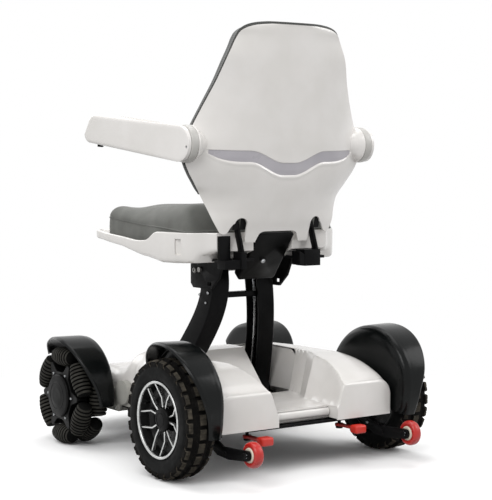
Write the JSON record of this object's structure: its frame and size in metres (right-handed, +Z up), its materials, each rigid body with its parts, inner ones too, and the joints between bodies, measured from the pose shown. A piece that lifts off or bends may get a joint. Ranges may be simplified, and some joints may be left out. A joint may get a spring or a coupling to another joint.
{
  "type": "folding power wheelchair",
  "caption": "Folding electric wheelchair with a shell backrest, flip-up armrests, padded seat on two swinging legs, knobby drive wheels at the back and roller wheels at the front.",
  "frame": {"origin": "on the floor, midway along the chair's whole length and width", "axes": "+Z up, +Y the way the chair drives forwards, +X to the sitter's right"},
  "size_m": [0.644, 0.902, 0.9558],
  "materials": {
    "white_abs": "glossy white shell",
    "black_abs": "glossy black shell",
    "black_steel": "matt black powder coat",
    "tyre_rubber": "matt knobby rubber",
    "roller_rubber": "matt ribbed rubber",
    "rim_alloy": "black alloy with bright edges",
    "red_polyurethane": "clear red polyurethane",
    "red_plastic": "red plastic",
    "cushion_cloth": "mid grey woven cloth",
    "dark_cloth": "dark grey cloth",
    "lavender_lens": "pale lavender lens",
    "ring_grey": "light grey plastic",
    "zinc_steel": "zinc plated steel"
  },
  "bodies": {
    "base": {"chassis_frame": "black_steel", "base_cover": "white_abs", "leg_base_shaft": "zinc_steel", "footplate_bracket": "black_steel", "rear_fender_left": "black_abs", "rear_fender_right": "black_abs", "front_fender_left": "black_abs", "front_fender_right": "black_abs", "rear_motor_left": "black_steel", "rear_motor_right": "black_steel", "front_motor_left": "black_steel", "front_motor_right": "black_steel", "front_bracket_left": "black_steel", "front_bracket_right": "black_steel", "anti_tip_arm_left": "black_steel", "anti_tip_arm_right": "black_steel"},
    "battery": {"battery_pack": "white_abs"},
    "footplate": {"footplate": "black_abs"},
    "legs": {"leg_left": "black_steel", "leg_right": "black_steel", "leg_top_shaft": "zinc_steel", "leg_cross_bar": "black_steel"},
    "guide_rods": {"guide_rod_left": "zinc_steel", "guide_rod_right": "zinc_steel"},
    "seat": {"seat_carrier": "black_steel", "seat_shell": "white_abs", "seat_cushion": "cushion_cloth", "back_strip_left": "black_steel", "back_strip_right": "black_steel", "hinge_housing": "black_abs", "back_hinge_shaft": "zinc_steel"},
    "backrest": {"back_shell": "white_abs", "back_frame": "black_steel", "back_cushion": "dark_cloth", "light_strip": "lavender_lens", "arm_ring_left": "ring_grey", "arm_ring_right": "ring_grey"},
    "armrest_left": {"armrest_left": "white_abs", "arm_pad_left": "dark_cloth", "armrest_foot_left": "dark_cloth"},
    "armrest_right": {"armrest_right": "white_abs", "arm_pad_right": "dark_cloth", "joystick_housing": "black_abs"},
    "gimbal": {"joystick_gimbal": "black_abs"},
    "stick": {"joystick_stick": "black_abs"},
    "power_button": {"power_button": "red_plastic"},
    "rear_wheel_left": {"rear_tyre_left": "tyre_rubber", "rear_rim_left": "rim_alloy"},
    "front_wheel_left": {"omni_outer_row_left": "roller_rubber", "omni_inner_row_left": "roller_rubber", "omni_cap_left": "black_abs"},
    "anti_tip_wheel_left": {"anti_tip_wheel_left": "red_polyurethane"},
    "freewheel_lever_left": {"freewheel_lever_left": "red_plastic"},
    "rear_wheel_right": {"rear_tyre_right": "tyre_rubber", "rear_rim_right": "rim_alloy"},
    "front_wheel_right": {"omni_outer_row_right": "roller_rubber", "omni_inner_row_right": "roller_rubber", "omni_cap_right": "black_abs"},
    "anti_tip_wheel_right": {"anti_tip_wheel_right": "red_polyurethane"},
    "freewheel_lever_right": {"freewheel_lever_right": "red_plastic"}
  },
  "joints": [
    {"name": "rear_wheel_spin_left", "type": "hinge", "parent": "base", "child": "rear_wheel_left", "pos_m": [-0.287, -0.2345, 0.127], "axis": [1, 0, 0], "continuous": true},
    {"name": "front_wheel_spin_left", "type": "hinge", "parent": "base", "child": "front_wheel_left", "pos_m": [-0.27, 0.2345, 0.114], "axis": [1, 0, 0], "continuous": true},
    {"name": "anti_tip_spin_left", "type": "hinge", "parent": "base", "child": "anti_tip_wheel_left", "pos_m": [-0.209, -0.424, 0.073], "axis": [1, 0, 0], "continuous": true},
    {"name": "freewheel_lever_swing_left", "type": "hinge", "parent": "base", "child": "freewheel_lever_left", "pos_m": [-0.125, -0.281, 0.079], "axis": [0, 0, 1], "range_deg": [0, 30]},
    {"name": "rear_wheel_spin_right", "type": "hinge", "parent": "base", "child": "rear_wheel_right", "pos_m": [0.287, -0.2345, 0.127], "axis": [1, 0, 0], "continuous": true},
    {"name": "front_wheel_spin_right", "type": "hinge", "parent": "base", "child": "front_wheel_right", "pos_m": [0.27, 0.2345, 0.114], "axis": [1, 0, 0], "continuous": true},
    {"name": "anti_tip_spin_right", "type": "hinge", "parent": "base", "child": "anti_tip_wheel_right", "pos_m": [0.209, -0.424, 0.073], "axis": [1, 0, 0], "continuous": true},
    {"name": "freewheel_lever_swing_right", "type": "hinge", "parent": "base", "child": "freewheel_lever_right", "pos_m": [0.125, -0.281, 0.079], "axis": [0, 0, -1], "range_deg": [0, 30]},
    {"name": "battery_slide", "type": "slide", "parent": "base", "child": "battery", "axis": [0, -1, 0], "range_m": [0, 0.18]},
    {"name": "footplate_fold", "type": "hinge", "parent": "base", "child": "footplate", "pos_m": [0, 0.312, 0.106], "axis": [1, 0, 0], "range_deg": [0, 85]},
    {"name": "leg_fold", "type": "hinge", "parent": "base", "child": "legs", "pos_m": [0, 0.03, 0.125], "axis": [1, 0, 0], "range_deg": [0, 52]},
    {"name": "guide_rod_fold", "type": "hinge", "parent": "base", "child": "guide_rods", "pos_m": [0, 0.0406, 0.1328], "axis": [1, 0, 0], "range_deg": [0, 52]},
    {"name": "seat_levelling", "type": "hinge", "parent": "legs", "child": "seat", "pos_m": [0, -0.055, 0.42], "axis": [1, 0, 0], "range_deg": [-52, 0]},
    {"name": "backrest_fold", "type": "hinge", "parent": "seat", "child": "backrest", "pos_m": [0, -0.2, 0.6], "axis": [-1, 0, 0], "range_deg": [0, 90]},
    {"name": "armrest_flip_left", "type": "hinge", "parent": "backrest", "child": "armrest_left", "pos_m": [-0.241, -0.21, 0.701], "axis": [1, 0, 0], "range_deg": [0, 97]},
    {"name": "armrest_flip_right", "type": "hinge", "parent": "backrest", "child": "armrest_right", "pos_m": [0.241, -0.21, 0.701], "axis": [1, 0, 0], "range_deg": [0, 97]},
    {"name": "joystick_pitch", "type": "hinge", "parent": "armrest_right", "child": "gimbal", "pos_m": [0.269, 0.05577, 0.77781], "axis": [1, 0, 0], "range_deg": [-16, 16], "stiffness_Nm_per_rad": 0.08},
    {"name": "joystick_roll", "type": "hinge", "parent": "gimbal", "child": "stick", "pos_m": [0.269, 0.05577, 0.77781], "axis": [0, 0.993, 0.1184], "range_deg": [-16, 16], "stiffness_Nm_per_rad": 0.08},
    {"name": "power_button_press", "type": "slide", "parent": "armrest_right", "child": "power_button", "axis": [0, 0.1184, -0.993], "range_m": [0, 0.0004], "stiffness_N_per_m": 300}
  ],
  "couplings": [
    {"joint": "guide_rod_fold", "follows": "leg_fold", "ratio": 1},
    {"joint": "seat_levelling", "follows": "leg_fold", "ratio": -1}
  ]
}
